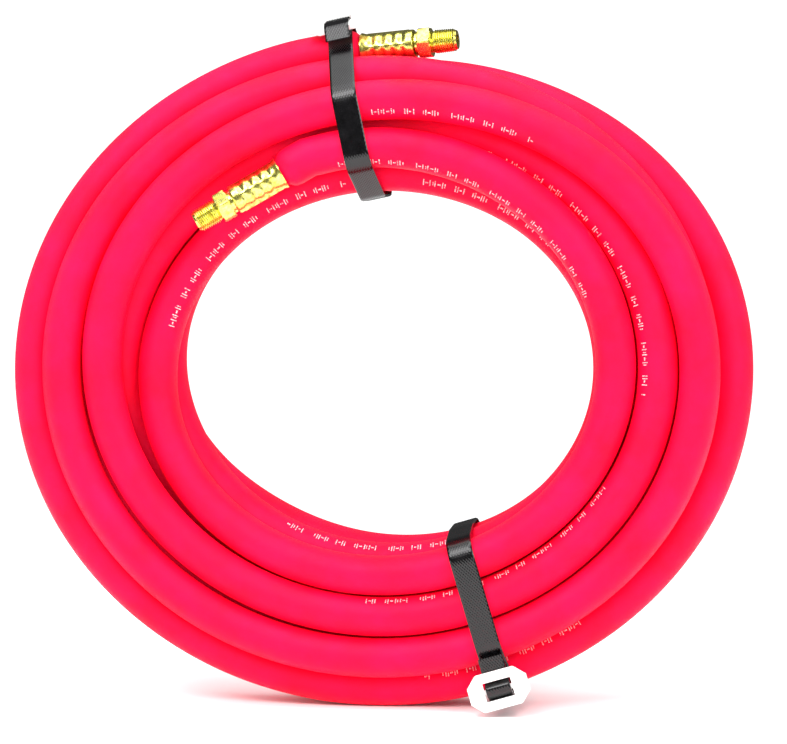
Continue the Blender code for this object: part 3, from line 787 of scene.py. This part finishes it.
def even_path(path, spacing):
    """The same line in equal steps, with its corners eased."""
    travel = travelled(path)
    steps = np.linspace(0.0, travel[-1], int(travel[-1] / spacing))
    even = np.column_stack([np.interp(steps, travel, axis) for axis in path.T])
    for _ in range(3):
        even[1:-1] = (even[:-2] + 2 * even[1:-1] + even[2:]) / 4
    return even, steps


def add_strap(name, path, placement):
    """A thin strap with ribs embossed along and across its outer face."""
    middle, travel = even_path(path, STRAP_SPACING)
    heading = np.gradient(middle, axis=0)
    heading /= np.linalg.norm(heading, axis=1)[:, None]
    normal = np.column_stack([-heading[:, 1], heading[:, 0]])
    across = np.linspace(-0.5, 0.5, STRAP_COLUMNS) * STRAP_WIDTH
    points = []
    for place, center, out in zip(travel, middle, normal):
        edge = np.clip((STRAP_WIDTH / 2 - np.abs(across)) / 0.0008, 0.0, 1.0)
        wave = np.cos(2 * pi * across / RIB_PITCH) * np.cos(2 * pi * place / (1.6 * RIB_PITCH))
        ribs = 0.5 + 0.5 * wave
        rise = STRAP_THICKNESS / 2 - 0.00018 * (1 - edge) ** 2 + RIB_HEIGHT * ribs * edge
        outer = [(x, *(center + up * out)) for x, up in zip(across, rise)]
        inner = [(x, *(center - STRAP_THICKNESS / 2 * out)) for x in across[::-1]]
        points += outer + inner
    sides = 2 * STRAP_COLUMNS
    faces = grid_faces(len(middle), sides)
    faces.append(tuple(range(sides)))
    faces.append(tuple(range(len(points) - sides, len(points)))[::-1])
    strap = make_object(name + "_embossed_strap", points, faces, placement)
    layer = strap.data.uv_layers.new(name="along_across")
    for loop in strap.data.loops:
        ring, column = divmod(loop.vertex_index, sides)
        layer.data[loop.index].uv = (column / sides * 0.03, travel[ring])
    smooth(strap, 50)
    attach(strap, "root")
    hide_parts(name + "_strap")
    return strap


# ---------------------------------------------------------------- buckles


def octagon(count):
    """Even points round the buckle's outline."""
    half_width, half_length = BUCKLE_WIDTH / 2, BUCKLE_LENGTH / 2
    inner_width, inner_length = half_width - BUCKLE_CORNER, half_length - BUCKLE_CORNER
    corners = [
        (half_width, -inner_length), (half_width, inner_length),
        (inner_width, half_length), (-inner_width, half_length),
        (-half_width, inner_length), (-half_width, -inner_length),
        (-inner_width, -half_length), (inner_width, -half_length),
    ]
    return radial_outline(corners, count)


def radial_outline(corners, count):
    """Where rays from the middle, at equal angles, meet an outline of corners."""
    result = []
    for k in range(count):
        way = np.array([cos(2 * pi * k / count), sin(2 * pi * k / count)])
        best = None
        for start, end in zip(corners, corners[1:] + corners[:1]):
            start, side = np.array(start), np.array(end) - np.array(start)
            cross = way[0] * side[1] - way[1] * side[0]
            if abs(cross) < 1e-12:
                continue
            reach = (start[0] * side[1] - start[1] * side[0]) / cross
            share = (start[0] * way[1] - start[1] * way[0]) / cross
            if reach > 0 and -1e-9 <= share <= 1 + 1e-9:
                best = reach if best is None else min(best, reach)
        result.append(best * way)
    return np.array(result)


def add_buckle(name, placement):
    """Octagonal frame with rounded edges, and a lower chamfered bar across its window."""
    count = 96
    outer = octagon(count)
    half_width, half_length = BUCKLE_SLOT_WIDTH / 2, BUCKLE_SLOT_END
    inner = radial_outline(
        [(half_width, -half_length), (half_width, half_length),
         (-half_width, half_length), (-half_width, -half_length)], count)
    rings = []

    def ring(share_in, height, outline=None):
        base = outer if outline is None else outline
        way = base / np.linalg.norm(base, axis=1)[:, None]
        rings.append(np.column_stack([base + share_in * way, np.full(count, height)]))

    f, top = BUCKLE_FILLET, BUCKLE_THICKNESS
    for step in range(5):
        bend = radians(22.5 * step)
        ring(-f * (1 - sin(bend)), f * (1 - cos(bend)))
    for step in range(5):
        bend = radians(22.5 * step)
        ring(-f * (1 - cos(bend)), top - f * (1 - sin(bend)))
    for step in range(5):
        bend = radians(22.5 * step)
        ring(f * (1 - sin(bend)), top - f * (1 - cos(bend)), inner)
    for step in range(5):
        bend = radians(22.5 * step)
        ring(f * (1 - cos(bend)), f * (1 - sin(bend)), inner)
    frame_points = np.vstack(rings)
    faces = grid_faces(len(rings), count, closed=True)
    points = [tuple(point) for point in frame_points]
    add_bar(points, faces)
    buckle = make_object(name + "_moulded_buckle", points, faces, placement)
    smooth(buckle, 40)
    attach(buckle, "root")
    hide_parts(name + "_buckle")
    return buckle


def add_bar(points, faces):
    """The bar that the strap passes over, its ends sunk in the frame."""
    half_width = BUCKLE_SLOT_WIDTH / 2 + 0.0008
    half_bar, thick, chamfer = BUCKLE_BAR_WIDTH / 2, BUCKLE_BAR_THICKNESS, 0.0003
    section = [
        (-half_bar, chamfer), (-half_bar + chamfer, 0.0),
        (half_bar - chamfer, 0.0), (half_bar, chamfer),
        (half_bar, thick - chamfer), (half_bar - chamfer, thick),
        (-half_bar + chamfer, thick), (-half_bar, thick - chamfer),
    ]
    base = len(points)
    for x in (-half_width, half_width):
        points += [(x, y, z) for y, z in section]
    size = len(section)
    faces += [
        (base + k, base + (k + 1) % size, base + size + (k + 1) % size, base + size + k)
        for k in range(size)
    ]
    faces.append(tuple(base + k for k in range(size))[::-1])
    faces.append(tuple(base + size + k for k in range(size)))


def buckle_matrix(centers, turn, slide):
    seat = buckle_seat(centers, turn, slide)[0]
    return Matrix.Translation((0.0, *seat)) @ Matrix.Rotation(radians(turn - 90.0), 4, "X")


# ---------------------------------------------------------------- stage

FLOOR_HALF_SIZE = 0.75
WORLD_STRENGTH = 1.25
WORLD_IN_REFLECTIONS = 0.12
LIGHT_TARGET = (0.0, 0.0, 0.16)
# Name, place, diameter and power
LIGHTS = (
    ("key", (-0.5, -1.3, 1.3), 0.9, 22.0),
    ("fill", (0.9, -1.1, 0.7), 0.8, 8.0),
    ("above", (0.0, -0.3, 1.5), 1.2, 15.0),
)


def add_stage(floor_height):
    size = FLOOR_HALF_SIZE
    points = [(-size, -size, floor_height), (size, -size, floor_height),
              (size, size, floor_height), (-size, size, floor_height)]
    floor = make_object("floor", points, [(0, 1, 2, 3)])
    floor.data.materials.append(floor_material())
    floor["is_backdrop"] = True


def add_light(name, place, size, power):
    data = bpy.data.lights.new(name, "AREA")
    data.shape = "DISK"
    data.size = size
    data.energy = power
    light = bpy.data.objects.new(name, data)
    light.location = place
    light.rotation_euler = (Vector(place) - Vector(LIGHT_TARGET)).to_track_quat("Z", "Y").to_euler()
    bpy.context.scene.collection.objects.link(light)


def add_world():
    world = bpy.data.worlds.new("studio")
    world.use_nodes = True
    tree = world.node_tree
    background = tree.nodes["Background"]
    background.inputs["Color"].default_value = (1.0, 1.0, 1.0, 1.0)
    rays = tree.nodes.new("ShaderNodeLightPath")
    strength = tree.nodes.new("ShaderNodeMapRange")
    strength.inputs["To Min"].default_value = WORLD_STRENGTH
    strength.inputs["To Max"].default_value = WORLD_IN_REFLECTIONS
    tree.links.new(rays.outputs["Is Glossy Ray"], strength.inputs["Value"])
    tree.links.new(strength.outputs["Result"], background.inputs["Strength"])
    bpy.context.scene.world = world


def build():
    add_camera()
    coil = coil_points()
    hose, centers = add_hose(coil)
    hose.data.materials.append(rubber_material())
    marks = add_print(centers)
    marks.data.materials.append(print_material())
    brass = brass_material()
    ends = []
    for prefix, (mouth, way) in zip(("front", "top"), fitting_axes(coil)):
        placement = axis_matrix(mouth + COIL_CENTER, way)
        ends += [add_ferrule(prefix, placement), add_stem(prefix, placement)]
    for piece in ends:
        piece.data.materials.append(brass)
    mouth = fitting_axes(coil)[0][0] + COIL_CENTER
    strapping, moulding = strap_material(), buckle_material()
    for name, angle, aside, turn, slide, leave, tail_over in STRAPS:
        section = section_matrix(angle, aside)
        near = bundle_section(coil, angle, aside)
        strap = add_strap(name, strap_path(near, turn, slide, leave, tail_over), section)
        strap.data.materials.append(strapping)
        buckle = add_buckle(name, section @ buckle_matrix(near, turn, slide))
        buckle.data.materials.append(moulding)
    add_stage(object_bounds()[0].z)
    add_world()
    for light in LIGHTS:
        add_light(*light)
    bpy.context.scene.view_settings.view_transform = "Standard"


build()
